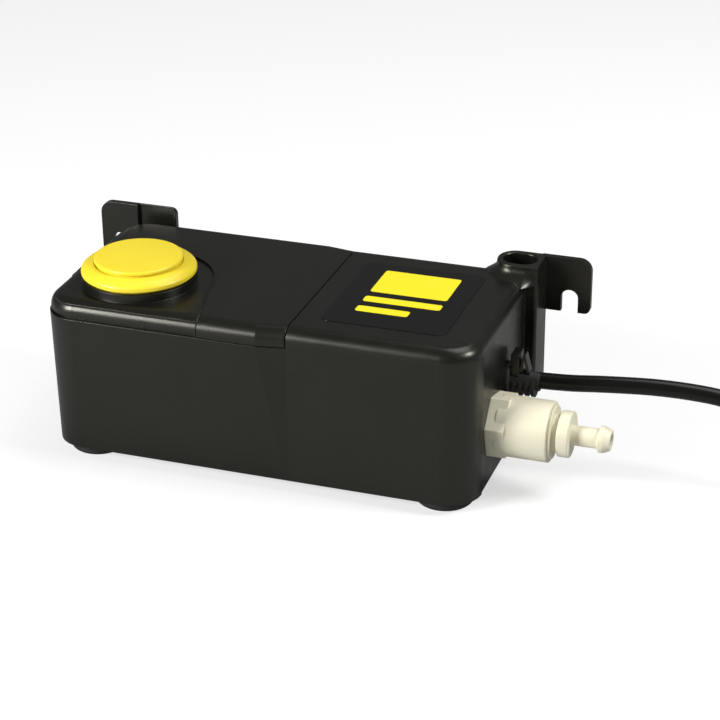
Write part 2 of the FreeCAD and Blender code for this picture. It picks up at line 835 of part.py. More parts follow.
def check_valve():
    """The outlet valve: hexagon and barrel, poppet and spring, ring, and the push-in hose tail."""
    body = outlet_body("valve_body")
    profile = [
        ("-spigot_length - tail_length", "seat_radius"),
        ("-spigot_length - tail_length", "tail_radius", "0.8"),
        ("-spigot_length", "tail_radius"),
        ("-spigot_length", "spigot_radius"),
        ("0", "spigot_radius"),
        ("0", "barrel_radius - 2"),
        ("hex_length / 2", "barrel_radius"),
        ("barrel_end", "barrel_radius", "0.5"),
        ("barrel_end", "valve_bore"),
        ("valve_seat", "valve_bore"),
        ("valve_seat", "seat_radius"),
    ]
    turn(body, "x", profile)
    corners = [(*around("hex_radius", f"hex_turn + {60 * side}"), "1.2") for side in range(6)]
    add(body, "yz", "0", "hex_length", corners, ("0", "0", "valve_bore"))

    ring = outlet_body("valve_cap")
    start = "valve_seat + poppet_length + valve_stroke + 3"
    profile = [
        (start, "stem_radius + 2"),
        (start, "valve_bore - 0.1"),
        ("barrel_end + 0.1", "valve_bore - 0.1"),
        ("barrel_end + 0.1", "valve_cap_radius"),
        ("valve_cap_end", "valve_cap_radius", "0.4"),
        ("valve_cap_end", "neck_radius"),
        ("neck_end", "neck_radius", "0.4"),
        ("neck_end", "stem_radius + 2"),
    ]
    turn(ring, "x", profile)

    tail = outlet_body("hose_tail")
    spigot = "stem_radius + 1.9"
    groove = f"{spigot} - 1.4"
    profile = [
        (f"{start} + 1", "hose_bore"),
        (f"{start} + 1", spigot, "0.6"),
        ("barrel_end - 1.6", spigot),
        ("barrel_end - 1.6", groove),
        ("barrel_end", groove),
        ("barrel_end", spigot),
        ("neck_end + 0.2", spigot),
        ("neck_end + 0.2", "flange_radius", "0.5"),
        ("flange_end", "flange_radius", "0.5"),
        ("flange_end", "stem_radius"),
        ("barb_start", "stem_radius"),
        ("barb_start + 1", "barb_radius"),
        ("barb_start + 3", "barb_radius"),
        ("barb_tip", "barb_tip_radius", "0.4"),
        ("barb_tip", "hose_bore"),
    ]
    turn(tail, "x", profile)
    seal = outlet_body("tail_seal")
    turn(seal, "x", ("barrel_end - 0.8", f"{spigot} - 0.65", "0.7"))

    poppet = outlet_body("valve_poppet")
    profile = [
        ("valve_seat", "0"),
        ("valve_seat", "poppet_radius"),
        ("valve_seat + 1.6", "poppet_radius", "0.4"),
        ("valve_seat + 1.6", "spring_radius - spring_wire - 0.4"),
        ("valve_seat + poppet_length", "spring_radius - spring_wire - 0.4", "0.4"),
        ("valve_seat + poppet_length", "0"),
    ]
    turn(poppet, "x", profile)
    valve_spring(start)
    gasket = outlet_body("valve_seal")
    notch = "(panel_thickness + 3.1)"
    turn(gasket, "x", [
        (f"-{notch} - 1.5", "spigot_radius + 0.05"),
        (f"-{notch} - 1.5", "spigot_radius + 3"),
        (f"-{notch}", "spigot_radius + 3"),
        (f"-{notch}", "spigot_radius + 0.05"),
    ])


def valve_spring(stop):
    """The light spring that closes the poppet."""
    first = value("valve_seat + 1.6 + spring_wire")
    length = value(f"{stop} + 1 - spring_wire") - first
    radius = value("spring_radius")
    wire = value("spring_wire")
    turns = 4
    helix = Part.makeHelix(length / turns, length, radius)
    start = helix.Edges[0].Vertexes[0].Point
    section = Part.Wire(Part.Circle(start, FreeCAD.Vector(0, 1, 0), wire).toShape())
    coil = Part.Wire(helix.Edges).makePipeShell([section], True, True)
    coil.rotate(FreeCAD.Vector(0, 0, 0), FreeCAD.Vector(0, 1, 0), 90)
    spring = doc.addObject("Part::Feature", "valve_spring")
    spring.Shape = coil
    foot = "valve_seat + 1.6 + spring_wire"
    set_place(spring, f"body_length / 2 - panel_recess + {foot}", "-outlet_y", "outlet_z")
    keep(spring, "valve_spring")


def delivery_tube():
    """The soft tube from the pump chamber's spout to the valve."""
    body = new_body("delivery_tube", "seam_x + seam_gap / 2 + shell", "-outlet_y", "outlet_z")
    face = "(body_length / 2 - panel_recess - seam_x - seam_gap / 2 - shell)"
    profile = [
        ("2", "tail_radius + 0.02"),
        ("2", "tube_radius"),
        (f"{face} - spigot_length - 0.5", "tube_radius"),
        (f"{face} - spigot_length - 0.5", "tail_radius + 0.02"),
    ]
    turn(body, "x", profile)


def pump_axis_body(name, x="0"):
    """A body on the rotor's axis, measured from the bulkhead's tank side."""
    return new_body(name, f"seam_x + seam_gap / 2 + {x}", "pump_y", "pump_z")


def rotor_can():
    """The thin closed sleeve that keeps the water away from the motor, and its gasket."""
    body = pump_axis_body("rotor_can")
    wall = "can_wall"
    outside = "can_radius"
    length = "can_length"
    profile = [
        ("-gasket - can_flange", f"{outside} - {wall}"),
        ("-gasket - can_flange", "chamber_radius - 5.2"),
        ("-gasket", "chamber_radius - 5.2"),
        ("-gasket", outside),
        (length, outside, "1"),
        (length, "0"),
        (f"{length} - {wall}", "0"),
        (f"{length} - {wall}", f"{outside} - {wall}"),
    ]
    turn(body, "x", profile)
    seat = f"{length} - {wall}"
    add(body, "yz", f"{seat} - 3", seat, ("0", "0", "shaft_radius + 1.6"), ("0", "0", "shaft_radius"))
    gasket = pump_axis_body("can_gasket")
    add(gasket, "yz", "-gasket", "0", ("0", "0", "chamber_radius - 5.2"), ("0", "0", "can_radius + 0.6"))


def pump_chamber():
    """The volute cover on the tank's side of the bulkhead, with the spout that goes through it."""
    body = pump_axis_body("pump_chamber")
    reach = "outlet_y + pump_y + spout_radius"
    lift = "outlet_z - pump_z"
    curve = "chamber_radius"
    plan = [
        ("0", f"-{curve}"),
        ("0", curve),
        (f"-({reach})", f"{lift} + spout_radius", "spout_radius - 0.5"),
        (f"-({reach})", f"{lift} - spout_radius", "spout_radius - 0.5"),
    ]
    low = "-chamber_depth - chamber_wall"
    add(body, "yz", low, "0", ("0", "0", curve))
    add(body, "yz", low, "0", plan)
    cut(body, "yz", "-chamber_depth", "0", ("0", "0", "chamber_bore"))
    channel = rectangle("-outlet_y - pump_y - 3", "0", f"{lift} - 3", f"{lift} + 4")
    cut(body, "yz", "-chamber_depth + 1", "-gasket - can_flange - 1", channel)
    cut(body, "yz", "-gasket - can_flange", "0", ("0", "0", "chamber_radius - 5.1"))
    spout = ("-outlet_y - pump_y", lift, "spout_bore + 2")
    add(body, "yz", "-1", "shell", spout)
    hose = ("-outlet_y - pump_y", lift, "tail_radius")
    add(body, "yz", "shell", "shell + 22", hose)
    cut(body, "yz", "-4", "shell + 22", ("-outlet_y - pump_y", lift, "spout_bore"))
    eye = [(*around("eye_circle", 90 * side), "eye_radius") for side in range(4)]
    cut(body, "yz", low, "-chamber_depth", *eye)
    add(body, "yz", f"{low} - 3", low, ("0", "0", "filter_radius - filter_wall - 0.1"), ("0", "0", "10"))
    cut(body, "yz", f"{low} + 0.6", "-chamber_depth", ("0", "0", "shaft_radius"))
    spots = [around("chamber_screw_circle", 45 + 90 * side) for side in range(4)]
    cut(body, "yz", low, "0", *[(y, z, "screw_radius") for y, z in spots])

    bolts = pump_axis_body("chamber_screws")
    add(bolts, "yz", low, "0", *[(y, z, "screw_radius * 0.8") for y, z in spots])
    add(bolts, "yz", f"{low} - 2", low, *[(y, z, "head_radius") for y, z in spots])


def intake_filter():
    """The slotted cup over the pump's eye."""
    body = pump_axis_body("intake_filter", "-chamber_depth - chamber_wall")
    inner = "filter_radius - filter_wall"
    profile = [
        ("0", inner),
        ("0", "filter_radius"),
        ("-filter_length", "filter_radius", "1"),
        ("-filter_length", "0"),
        ("-filter_length + filter_wall", "0"),
        ("-filter_length + filter_wall", inner),
    ]
    turn(body, "x", profile)
    gap = rectangle("-filter_length + 3", "-3.6", "-0.8", "0.8")
    slot = cut(body, "xy", "filter_radius - 4", "filter_radius + 1", gap)
    pattern(body, slot, 16)


def rotor():
    """Impeller with its sleeve, the magnet on the sleeve, two bushes in it, and the fixed shaft."""
    body = pump_axis_body("impeller", "-gasket - can_flange - running_gap")
    sleeve = "sleeve_radius"
    plate = "impeller_plate"
    profile = [
        (f"-{plate} - blade_height", "bearing_radius"),
        (f"-{plate} - blade_height", sleeve),
        (f"-{plate}", sleeve),
        (f"-{plate}", "impeller_radius"),
        ("0", "impeller_radius"),
        ("0", "sleeve_radius + 2"),
        ("1.2", "sleeve_radius + 2"),
        ("1.2", sleeve),
        ("magnet_length + sleeve_tail", sleeve),
        ("magnet_length + sleeve_tail", "bearing_radius"),
    ]
    turn(body, "x", profile)
    half = "blade_thickness / 2"
    blade = [
        (f"{sleeve} - 0.6", f"-{half}"),
        ("impeller_radius * 0.7", f"-{half} - 1.5"),
        ("impeller_radius - 0.3", f"-{half} - 4.5"),
        ("impeller_radius - 0.3", f"{half} - 4.5"),
        ("impeller_radius * 0.7", f"{half} - 1.5"),
        (f"{sleeve} - 0.6", half),
    ]
    vane = add(body, "yz", f"-{plate} - blade_height", f"-{plate} / 2", blade)
    pattern(body, vane, 6)

    magnet = pump_axis_body("rotor_magnet", "-gasket - can_flange - running_gap + 1.2")
    add(magnet, "yz", "0", "magnet_length", ("0", "0", "magnet_radius"), ("0", "0", sleeve))
    bushes = pump_axis_body("rotor_bearings", "-gasket - can_flange - running_gap")
    ring = (("0", "0", "bearing_radius"), ("0", "0", "shaft_radius + 0.05"))
    low = f"-{plate} - blade_height"
    high = "magnet_length + sleeve_tail"
    add(bushes, "yz", low, f"{low} + bearing_length", *ring)
    add(bushes, "yz", f"{high} - bearing_length", high, *ring)
    pin = pump_axis_body("rotor_shaft")
    add(pin, "yz", "-chamber_depth - chamber_wall + 0.6", "can_length - can_wall", ("0", "0", "shaft_radius"))


def motor():
    """The laminated core astride the can, its rivets, and the two wound bobbins."""
    core = new_body("stator_core")
    low = "pump_z - core_drop"
    high = "core_top"
    legs = [
        ("pump_y - core_half", low),
        ("pump_y - core_slot", low),
        ("pump_y - core_slot", "core_slot_top"),
        ("pump_y + core_slot", "core_slot_top"),
        ("pump_y + core_slot", low),
        ("pump_y + core_half", low),
        ("pump_y + core_half", high),
        ("pump_y - core_half", high),
    ]
    span = ("core_x", "core_x + core_thickness")
    add(core, "yz", *span, legs)
    cut(core, "yz", *span, ("pump_y", "pump_z", "core_bore"))
    inset = "core_half - rivet_inset"
    levels = (f"{low} + rivet_rise", f"{high} - rivet_inset")
    spots = [(f"pump_y {side} ({inset})", level) for side in "+-" for level in levels]
    cut(core, "yz", *span, *[(y, z, "rivet_radius") for y, z in spots])
    rivets = new_body("core_rivets")
    add(rivets, "yz", *span, *[(y, z, "rivet_radius") for y, z in spots])
    add(rivets, "yz", f"{span[0]} - 1", span[0], *[(y, z, "rivet_radius + 1") for y, z in spots])
    add(rivets, "yz", span[1], f"{span[1]} + 1", *[(y, z, "rivet_radius + 1") for y, z in spots])

    bobbins = new_body("coil_bobbins")
    coils = new_body("coil_windings")
    start = "bobbin_low"
    end = "bobbin_high"
    for side in ("-", "+"):
        near = f"pump_y {side} core_slot"
        far = f"pump_y {side} core_half"
        edges = (far, near) if side == "-" else (near, far)

        def frame(grow):
            return rectangle(
                f"core_x - ({grow})",
                f"core_x + core_thickness + ({grow})",
                f"{edges[0]} - ({grow})",
                f"{edges[1]} + ({grow})",
            )

        reach = "bobbin_reach"
        wall = "fit + bobbin_wall"
        middle = (f"{start} + bobbin_wall", f"{end} - bobbin_wall")
        add(bobbins, "xy", start, middle[0], frame(reach), frame("fit"))
        add(bobbins, "xy", *middle, frame(wall), frame("fit"))
        add(bobbins, "xy", middle[1], end, frame(reach), frame("fit"))
        add(coils, "xy", *middle, frame(f"{reach} - 0.5"), frame(wall))


def board():
    """The circuit board on edge in its guides, and what is soldered to it."""
    body = new_body("circuit_board")
    low = "foot_height + base_thickness + 3"
    back = "board_y + board_thickness"
    add(body, "xz", "board_y", back, rectangle("board_x", "board_right", low, "board_top"))
    block = new_body("terminal_block")
    left = "lead_start - 12"
    add(block, "xz", "lead_y - 5", "board_y", rectangle(left, "lead_start", "lead_z - 6.5", "lead_z + 6.5"))
    wells = [(f"{left} + {2.4 + 3.6 * number}", "lead_y", "1.3") for number in range(3)]
    cut(block, "xy", "lead_z + 2", "lead_z + 6.5", *wells)
    relay = new_body("control_relay")
    relay_plan = rectangle("board_x + 2", "board_x + 14", "lead_z - 22.8", "lead_z - 7", "0.8")
    add(relay, "xz", "board_y - 15", "board_y", relay_plan)
    capacitor = new_body("filter_capacitor")
    capacitor_plan = rectangle("board_x + 1", "board_right - 12", "lead_z - 29.7", "lead_z - 23.4", "1")
    add(capacitor, "xz", "board_y - 11", "board_y", capacitor_plan)
    fuse = new_body("supply_fuse", "board_x + 4", "board_y - 3.2", "lead_z + 15")
    end = "(board_right - board_x - 14)"
    add(fuse, "yz", "0", end, ("0", "0", "2.6"))
    add(fuse, "yz", "-1.5", "0", rectangle("-3", "3.2", "-3", "3"))
    add(fuse, "yz", end, f"{end} + 1.5", rectangle("-3", "3.2", "-3", "3"))


def float_switch():
    """Bracket, stem with reed switches, and the float with its ring magnet."""
    x = "-float_x"
    y = "-float_y"
    wall = "seam_x + seam_gap / 2"
    top = "bracket_z + bracket_thickness"
    bracket = new_body("float_bracket")
    half = "bracket_half"
    arm = rectangle("-float_x - bracket_half", wall, f"{y} - {half}", f"{y} + {half}", "2")
    arm = [arm[0], arm[1][:2], arm[2][:2], arm[3]]
    add(bracket, "xy", "bracket_z", top, arm)
    plate = rectangle(f"{wall} - bracket_thickness", wall, f"{y} - {half}", f"{y} + {half}")
    add(bracket, "xy", f"{top} - 16", top, plate)
    cut(bracket, "xy", "bracket_z", top, (x, y, "float_stem_radius + fit / 2"))
    bolts = [(y, f"{top} - 11")]
    cut(bracket, "yz", f"{wall} - bracket_thickness", wall, *[(u, v, "screw_radius") for u, v in bolts])
    screws_in = new_body("bracket_screw")
    start = f"{wall} - bracket_thickness"
    add(screws_in, "yz", start, wall, *[(u, v, "screw_radius * 0.9") for u, v in bolts])
    add(screws_in, "yz", f"{start} - 1.8", start, *[(u, v, "head_radius") for u, v in bolts])

    stem = new_body("float_stem", x, y)
    radius = "float_stem_radius"
    foot = "float_stem_foot"
    profile = [
        ("0", foot),
        (radius, foot, "0.5"),
        (radius, f"{foot} + 1.4"),
        (f"{radius} - 0.8", f"{foot} + 1.4"),
        (f"{radius} - 0.8", f"{foot} + 1.4 + clip_thickness"),
        (radius, f"{foot} + 1.4 + clip_thickness"),
        (radius, f"{top} + 6"),
        ("float_stem_bore", f"{top} + 6"),
        ("float_stem_bore", f"{foot} + 4"),
        ("0", f"{foot} + 4"),
    ]
    turn(stem, "z", profile)
    nut = new_body("stem_nut", x, y, top)
    corners = [(f"8 * cos({60 * n})", f"8 * sin({60 * n})") for n in range(6)]
    add(nut, "xy", "0", "4", corners, ("0", "0", radius))
    collar = new_body("stem_collar", x, y, "bracket_z")
    add(collar, "xy", "-2", "0", ("0", "0", "float_stem_radius + 3"), ("0", "0", radius))
    clip = new_body("float_clip", x, y, f"{foot} + 1.4")
    add(clip, "xy", "0", "clip_thickness", ("0", "0", f"{radius} + 2.5"), ("0", "0", f"{radius} - 0.8"))

    body = new_body("float", x, y, "float_rest")
    inner = f"{radius} + float_gap"
    profile = [
        (inner, "0"),
        ("float_radius", "0", "2"),
        ("float_radius", "float_height", "2"),
        (f"{inner} + 4", "float_height"),
        (f"{inner} + 4", "float_height - 5"),
        (inner, "float_height - 5"),
    ]
    turn(body, "z", profile)
    magnet = new_body("float_magnet", x, y, "float_rest")
    ring = (("0", "0", f"{inner} + 3.9"), ("0", "0", f"{inner} + 0.2"))
    add(magnet, "xy", "float_height - 5", "float_height - 1", *ring)
    reeds = new_body("reed_switches", x, y)
    for level in ("float_rest + float_height - 6", "float_rest + float_height + float_travel - 10"):
        add(reeds, "xy", level, f"{level} + 12", ("float_stem_bore - 1.5", "0", "1.3"))


def gland():
    """The ribbed gland that grips the lead, and the two-pronged clip over it."""
    outer = "body_length / 2 - panel_recess"
    body = new_body("cable_gland", outer, "lead_y", "lead_z")
    bore = "lead_radius + 0.05"
    rib = "gland_radius"
    profile = [
        ("-panel_thickness - 3.5", bore),
        ("-panel_thickness - 3.5", f"{rib} - 1.5"),
        ("0", f"{rib} - 1.5"),
        ("0", f"{rib} + 1.2"),
        ("1.8", f"{rib} + 1.2", "0.5"),
        ("1.8", "lead_radius + 1.1"),
        ("gland_length", "lead_radius + 0.5", "0.2"),
        ("gland_length", bore),
    ]
    turn(body, "x", profile)
    rib_plan = (("0", "-rib_drop", "rib_radius"), ("0", "0", "lead_radius + 0.3"))
    for start in ("3", "6", "9", "12"):
        add(body, "yz", start, f"{start} + 1.6", *rib_plan)

    clip = new_body("cable_clip", outer, "lead_y", "lead_z")
    saddle = "lead_radius + 1.15"
    add(clip, "xz", "-4", "4", rectangle("2", "6", "1", "clip_height", "0.6"))
    frame = [("5", "2"), ("7.4", "clip_height - 0.4"), ("8.4", "clip_height - 0.4"), ("11.4", "2")]
    opening = [("7.2", "1.5"), ("7.9", "clip_height - 2.4"), ("9.8", "1.5")]
    add(clip, "xz", "-2.5", "2.5", frame)
    cut(clip, "xz", "-2.5", "2.5", opening)
    cut(clip, "yz", "0", "gland_length", ("0", "0", saddle))


def lead_route():
    """Where the lead goes: straight out through the gland, held by its stiffness, then down to the floor."""
    bend = value("lead_radius")
    y = value("lead_y")
    z = value("lead_z")
    side = value("coil_y - coil_outer + lead_radius")
    spots = [
        (value("lead_start"), y, z),
        (140, y, z),
        (174, y + 3.4, z + 1.2),
        (208, y + 7.1, z + 0.6),
        (236, y + 8.1, z - 7.4),
        (258, y + 4.6, z - 24.4),
        (280, y - 4.4, bend + 2),
        (300, y - 14.4, bend),
        (value("coil_x"), side, bend),
    ]
    shift = FreeCAD.Vector(-value("middle_x"), -value("middle_y"), 0)
    return [FreeCAD.Vector(*spot) + shift for spot in spots]


def rounded_path(spots):
    """Straight runs joined by tangent arcs, each as large as its two runs allow."""
    edges = []
    here = spots[0]
    radii = []
    for before, corner, after in zip(spots, spots[1:], spots[2:]):
        back = (before - corner).normalize()
        ahead = (after - corner).normalize()
        half = back.getAngle(ahead) / 2
        trim = 0.45 * min(before.distanceToPoint(corner), after.distanceToPoint(corner))
        radius = trim * math.tan(half)
        first = corner + back * trim
        last = corner + ahead * trim
        middle = corner + (back + ahead).normalize() * (radius / math.sin(half) - radius)
        edges += [Part.LineSegment(here, first).toShape(), Part.Arc(first, middle, last).toShape()]
        here = last
        radii.append(round(radius))
    edges.append(Part.LineSegment(here, spots[-1]).toShape())
    print("lead radii", radii)
    return Part.Wire(edges)


def mains_lead():
    """The lead's free stretch, its coil on the floor, and the bare cores at its end."""
    route = lead_route()
    path = rounded_path(route)
    radius = value("lead_radius")
    along = (route[1] - route[0]).normalize()
    section = Part.Wire(Part.Circle(route[0], along, radius).toShape())
    tube = path.makePipeShell([section], True, True)
    expected = math.pi * radius ** 2 * path.Length
    print("lead volume over its length", round(tube.Volume / expected, 4))
    lead = doc.addObject("Part::Feature", "mains_lead")
    lead.Shape = tube
    keep(lead, "mains_lead")

    coil = new_body("lead_coil", "coil_x", "coil_y")
    turn(coil, "z", rectangle("coil_inner", "coil_outer", "0", "coil_height", "lead_radius"))
    side = "-(coil_outer + lead_radius - 0.6)"
    add(coil, "yz", "0", "tail_reach", (side, "lead_radius", "lead_radius"))
    cores = new_body("lead_cores", "coil_x", "coil_y", "lead_radius")
    spread = [(f"{side} + {offset}", "0", "1") for offset in ("2.2", "0", "-2.2")]
    add(cores, "yz", "tail_reach", "tail_reach + 22", *spread)


def checked_parts():
    """Stops on any failed object; gives the sub-parts in the order that they were made."""
    doc.recompute()
    bad = [item for item in doc.Objects if {"Invalid", "Error"} & set(item.State)]
    failed = [f"{item.Label}: {item.getStatusString()}" for item in bad]
    shapes = [(item.Label, item.Shape) for item in parts]
    broken = [name for name, shape in shapes if shape.isNull() or not shape.isValid() or not shape.Solids]
    if failed or broken:
        raise ValueError(f"failed: {failed}, broken: {broken}")
    return parts


pump_body()
tank_lid()
lid_seal()
inlet_cap()
end_panel()
base_cover()
screws("base_screws", pillar_spots(), "foot_height + head_depth", "12", "xy", "1.6")
rubber_feet()
check_valve()
delivery_tube()
rotor_can()
pump_chamber()
intake_filter()
rotor()
motor()
board()
float_switch()
gland()
mains_lead()

os.makedirs("parts", exist_ok=True)
for part in checked_parts():
    part.Shape.exportStep(f"parts/{part.Label}.step")
    print(part.Label, len(part.Shape.Solids), round(part.Shape.Volume))
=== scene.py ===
import json
import math

import bmesh
import bpy
from mathutils import Matrix, Vector


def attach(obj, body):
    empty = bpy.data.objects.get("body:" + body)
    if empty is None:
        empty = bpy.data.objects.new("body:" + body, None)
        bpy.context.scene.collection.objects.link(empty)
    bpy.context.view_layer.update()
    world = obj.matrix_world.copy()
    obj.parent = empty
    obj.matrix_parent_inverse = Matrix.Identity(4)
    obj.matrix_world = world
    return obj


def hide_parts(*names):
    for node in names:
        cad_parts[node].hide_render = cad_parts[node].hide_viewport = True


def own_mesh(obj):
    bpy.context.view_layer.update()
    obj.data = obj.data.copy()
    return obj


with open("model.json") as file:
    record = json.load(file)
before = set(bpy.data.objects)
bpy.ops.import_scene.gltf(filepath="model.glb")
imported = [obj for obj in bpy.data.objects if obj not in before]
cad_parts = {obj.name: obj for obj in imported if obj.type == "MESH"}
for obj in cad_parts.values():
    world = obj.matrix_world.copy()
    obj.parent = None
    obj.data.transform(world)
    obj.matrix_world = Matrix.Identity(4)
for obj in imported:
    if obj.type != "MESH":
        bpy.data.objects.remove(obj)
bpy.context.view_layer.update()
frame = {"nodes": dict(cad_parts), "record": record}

MM = 0.001
SHARP_ANGLE = math.radians(32)
WHITE = (1, 1, 1, 1)

# The frame's origin, on the floor under the middle of the object's box, in the source's own measures. Points
# below are written in those, in millimetres from the middle of the case's footprint
MIDDLE = Vector((19.225, 1.675, 0))


def spot(x, y, z):
    """A point of the case's own measures in the frame's metres."""
    return (Vector((x, y, z)) - MIDDLE) * MM


def place_object(name, data):
    """A new object in the scene."""
    made = bpy.data.objects.new(name, data)
    bpy.context.scene.collection.objects.link(made)
    return made


def mesh_object(name, mesh, material):
    """A new object from a bmesh, with its faces turned outwards."""
    bmesh.ops.recalc_face_normals(mesh, faces=mesh.faces)
    data = bpy.data.meshes.new(name)
    mesh.to_mesh(data)
    mesh.free()
    data.materials.append(material)
    return place_object(name, data)


def smooth(data):
    """Smooth shading between a mesh's sharp edges."""
    data.shade_smooth()
    data.set_sharp_from_angle(angle=SHARP_ANGLE)


# Camera: the photograph's view, fitted to the case's straight edges

AZIMUTH, ELEVATION, ROLL = (math.radians(angle) for angle in (19.241, 26.02, -0.55))
CAMERA_PLACE = (330.3, -847.1, 485.2)
LENS = 106.9
SENSOR_WIDTH = 36
CLIP_END = 20


def make_camera():
    back = Vector((
        math.sin(AZIMUTH) * math.cos(ELEVATION),
        -math.cos(AZIMUTH) * math.cos(ELEVATION),
        math.sin(ELEVATION),
    ))
    right = Vector((math.cos(AZIMUTH), math.sin(AZIMUTH), 0))
    up = back.cross(right)
    turned_right = right * math.cos(ROLL) + up * math.sin(ROLL)
    turned_up = up * math.cos(ROLL) - right * math.sin(ROLL)
    data = bpy.data.cameras.new("camera")
    data.lens = LENS
    data.sensor_width = SENSOR_WIDTH
    data.clip_end = CLIP_END
    camera = place_object("camera", data)
    turn = Matrix((turned_right, turned_up, back)).transposed().to_4x4()
    camera.matrix_world = Matrix.Translation(spot(*CAMERA_PLACE)) @ turn
    bpy.context.scene.camera = camera


# Materials; a grain in layers is drawn out along the two axes that aren't named

FINE_EDGE = 0.0002
EDGE_SAMPLES = 6
LAYERS_ON_X = (1, 0.02, 0.02)
LAYERS_ON_Z = (0.02, 0.02, 1)


def fill(tree, socket, setting):
    """Links a socket to another one, or gives it a value."""
    if isinstance(setting, bpy.types.NodeSocket):
        tree.links.new(setting, socket)
    else:
        socket.default_value = setting


class Shader:
    """A material with its nodes made by short calls."""

    def __init__(self, name):
        self.name = name
        self.material = bpy.data.materials.new(name + "_finish")
        self.material.use_nodes = True
        self.tree = self.material.node_tree
        self.tree.nodes.clear()
        self.out = self.tree.nodes.new("ShaderNodeOutputMaterial")
        self.surface = self.tree.nodes.new("ShaderNodeBsdfPrincipled")
        self.link(self.surface.outputs[0], self.out.inputs[0])
        self.place = self.tree.nodes.new("ShaderNodeTexCoord").outputs["Object"]

    def link(self, source, target):
        self.tree.links.new(source, target)

    def node(self, kind, inputs=None, **values):
        made = self.tree.nodes.new("ShaderNode" + kind)
        for key, setting in values.items():
            setattr(made, key, setting)
        for key, setting in (inputs or {}).items():
            fill(self.tree, made.inputs[key], setting)
        return made

    def noise(self, scale, detail=3.0, rough=0.55, stretch=None):
        place = self.place
        if stretch:
            place = self.node("Mapping", {"Vector": place, "Scale": stretch}).outputs[0]
        inputs = {"Vector": place, "Scale": scale, "Detail": detail, "Roughness": rough}
        return self.node("TexNoise", inputs).outputs["Fac"]

    def spread(self, source, low, high, start=0.3, end=0.7):
        """Stretches the middle of a noise to the whole way from low to high."""
        inputs = {"Value": source, "From Min": start, "From Max": end, "To Min": low, "To Max": high}
        return self.node("MapRange", inputs).outputs[0]

    def blend(self, factor, first, second):
        """A colour between two; the sockets are those of the Mix node's colour mode."""
        return self.node("Mix", {0: factor, 6: first, 7: second}, data_type="RGBA").outputs[2]

    def set(self, **values):
        for key, setting in values.items():
            fill(self.tree, self.surface.inputs[key.replace("_", " ")], setting)
        return self

    def bumped(self, height, strength, distance, edge):
        """Bumps over edges that are softened by a bevel."""
        soft = self.node("Bevel", {"Radius": edge}, samples=EDGE_SAMPLES).outputs[0]
        inputs = {"Height": height, "Strength": strength, "Distance": distance, "Normal": soft}
        self.set(Normal=self.node("Bump", inputs).outputs[0])


def rgb(red, green, blue):
    """A colour that is written as it shows on a screen, 0 to 255."""
    def light(level):
        level /= 255
        return level / 12.92 if level <= 0.04045 else ((level + 0.055) / 1.055) ** 2.4
    return (light(red), light(green), light(blue), 1)


def moulded(name, dark, pale, rough, grain=2600, depth=0.00004, strength=0.25, edge=0.0005):
    """Moulded plastic: a fine grain, slow changes of tone and gloss, and softened edges."""
    made = Shader(name)
    made.set(Base_Color=made.blend(made.spread(made.noise(scale=22), 0, 1), rgb(*dark), rgb(*pale)))
    made.set(Roughness=made.spread(made.noise(scale=60, detail=5), rough - 0.04, rough + 0.05))
    made.bumped(made.noise(grain, detail=4, rough=0.7), strength, depth, edge)
    return made


def metal(name, dark, pale, rough, grain=500, stretch=None):
    """Metal: slow changes of tone, and gloss and grain that may lie in layers."""
    made = Shader(name)
    made.set(Base_Color=made.blend(made.spread(made.noise(scale=160), 0, 1), rgb(*dark), rgb(*pale)))
    gloss = made.noise(scale=300, detail=5, rough=0.6, stretch=stretch)
    made.set(Metallic=1.0, Roughness=made.spread(gloss, rough - 0.08, rough + 0.1))
    made.bumped(made.noise(grain, 3, 0.6, stretch), strength=0.15, distance=0.00003, edge=FINE_EDGE)
    return made


